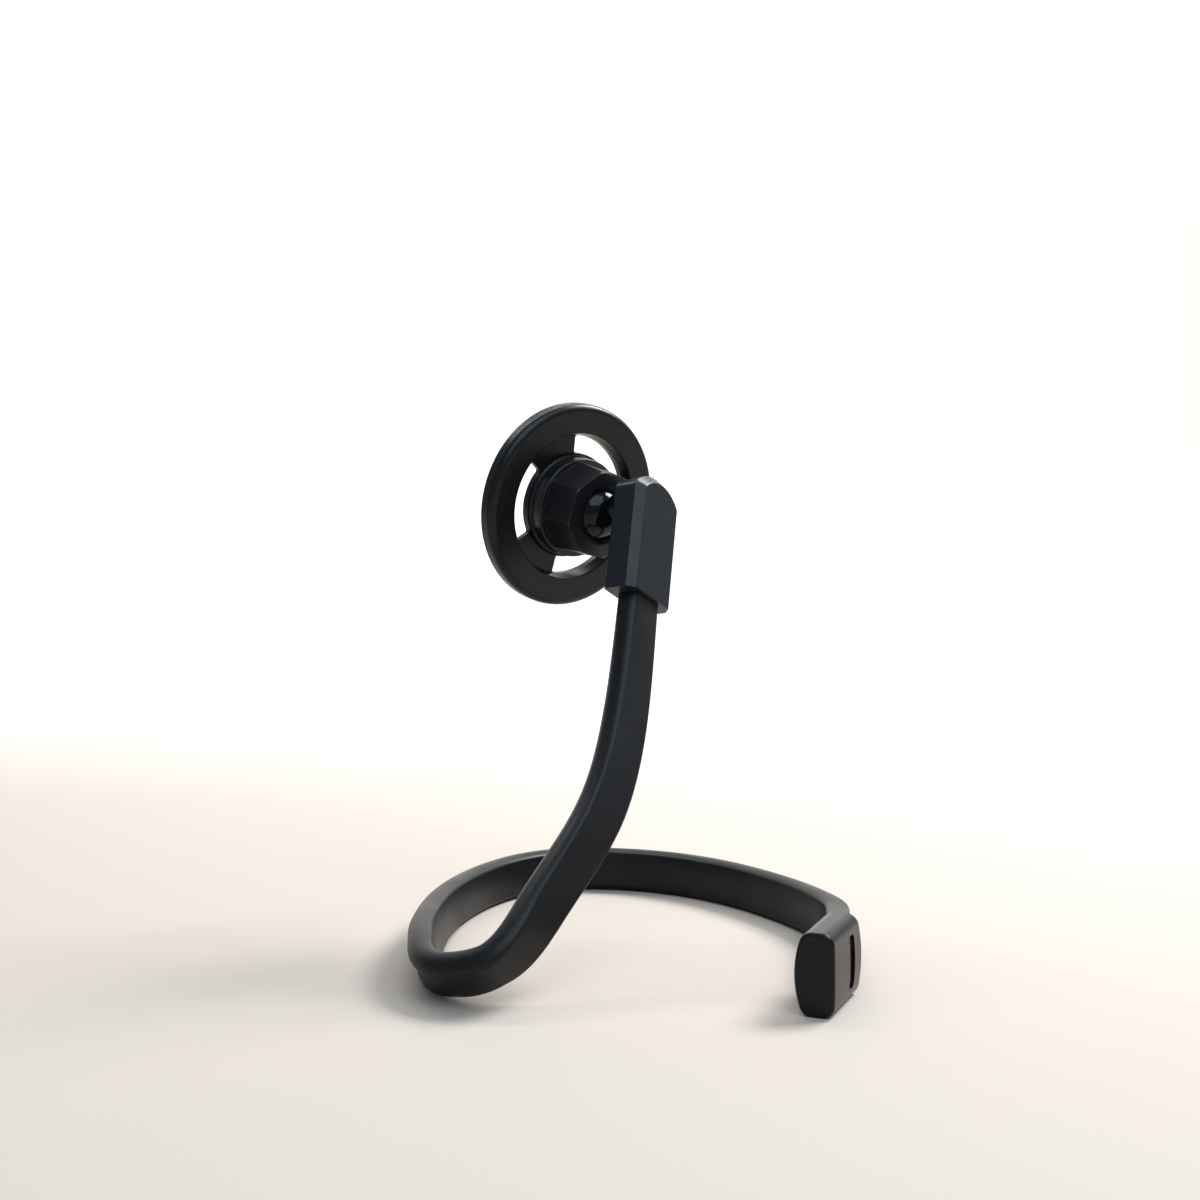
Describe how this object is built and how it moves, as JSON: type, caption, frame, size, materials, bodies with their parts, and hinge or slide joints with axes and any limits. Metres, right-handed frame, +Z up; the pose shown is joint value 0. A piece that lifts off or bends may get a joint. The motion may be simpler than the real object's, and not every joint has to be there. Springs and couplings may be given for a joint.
{
  "type": "bendable magnetic phone holder",
  "caption": "Bendable flat arm, curled into a standing loop and rising as a stem, that carries a magnetic ring on a lockable ball joint to hold a phone upright.",
  "frame": {"origin": "on the table, under the middle of the whole holder", "axes": "+Z up from the table, +Y away from the side that the picture was taken from, +X to its right"},
  "size_m": [0.1176, 0.144, 0.1545],
  "materials": {
    "soft_skin": "satin black skin",
    "cap_plastic": "satin black moulding",
    "ring_plastic": "fine matte black moulding",
    "nut_plastic": "satin black moulding",
    "ball_plastic": "polished black",
    "seat_plastic": "plain moulded white",
    "pad_rubber": "soft matte black",
    "wire_steel": "drawn wire",
    "plate_steel": "zinc plated",
    "insert_brass": "turned",
    "magnet_metal": "nickel plated"
  },
  "bodies": {
    "arm": {"arm_skin": "soft_skin", "core_wire_inner": "wire_steel", "core_wire_outer": "wire_steel", "upper_cap": "cap_plastic", "foot_cap": "cap_plastic", "stud_insert": "insert_brass"},
    "stud": {"ball_stud": "ball_plastic"},
    "seat": {"ball_seat": "seat_plastic"},
    "head": {"rear_housing": "ring_plastic", "back_plate": "plate_steel", "face_ring": "ring_plastic", "face_pad": "pad_rubber", "magnet_01": "magnet_metal", "magnet_02": "magnet_metal", "magnet_03": "magnet_metal", "magnet_04": "magnet_metal", "magnet_05": "magnet_metal", "magnet_06": "magnet_metal", "magnet_07": "magnet_metal", "magnet_08": "magnet_metal", "magnet_09": "magnet_metal", "magnet_10": "magnet_metal", "magnet_11": "magnet_metal", "magnet_12": "magnet_metal", "magnet_13": "magnet_metal", "magnet_14": "magnet_metal", "magnet_15": "magnet_metal", "magnet_16": "magnet_metal"},
    "nut": {"lock_nut": "nut_plastic"}
  },
  "joints": [
    {"name": "ball_swivel", "type": "hinge", "parent": "arm", "child": "stud", "pos_m": [-0.0104, 0.01866, 0.12164], "axis": [-0.8358, 0.5345, -0.1253], "continuous": true},
    {"name": "ball_tilt", "type": "hinge", "parent": "stud", "child": "seat", "pos_m": [-0.0104, 0.01866, 0.12164], "axis": [0.4782, 0.5966, -0.6446], "range_deg": [-59, 5]},
    {"name": "ball_spin", "type": "hinge", "parent": "seat", "child": "head", "pos_m": [-0.0104, 0.01866, 0.12164], "axis": [-0.6214, 0.7485, 0.2318], "continuous": true},
    {"name": "nut_turn", "type": "hinge", "parent": "head", "child": "nut", "pos_m": [-0.0104, 0.01866, 0.12164], "axis": [0.6214, -0.7485, -0.2318], "range_deg": [0, 120]}
  ]
}
